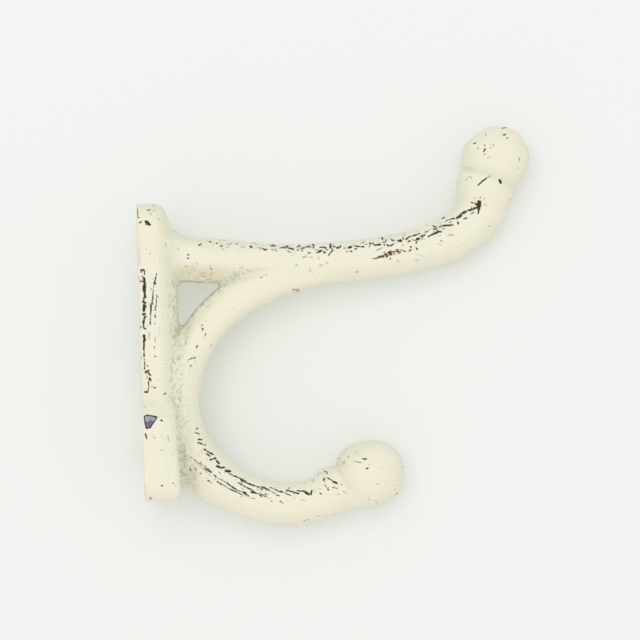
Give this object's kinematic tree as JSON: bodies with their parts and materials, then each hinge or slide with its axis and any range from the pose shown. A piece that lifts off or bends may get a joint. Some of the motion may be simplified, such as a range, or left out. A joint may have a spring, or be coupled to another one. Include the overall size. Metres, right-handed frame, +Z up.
{
  "type": "coat hook",
  "caption": "Cast iron double coat hook with a wall plate, a long upper arm and a curled lower arm, each ending in a ball, in worn cream paint.",
  "frame": {"origin": "middle of the wall plate's back face, half way up the plate", "axes": "+Z up the wall, +Y into the wall (the back face's outward normal), the arms reach out along -Y, symmetric about X = 0"},
  "size_m": [0.0292, 0.0989, 0.0986],
  "materials": {
    "painted_iron": "matt chalky cream paint on rough cast iron, rubbed through to dark metal along the ridges"
  },
  "bodies": {
    "root": {"hook_casting": "painted_iron"}
  },
  "joints": []
}
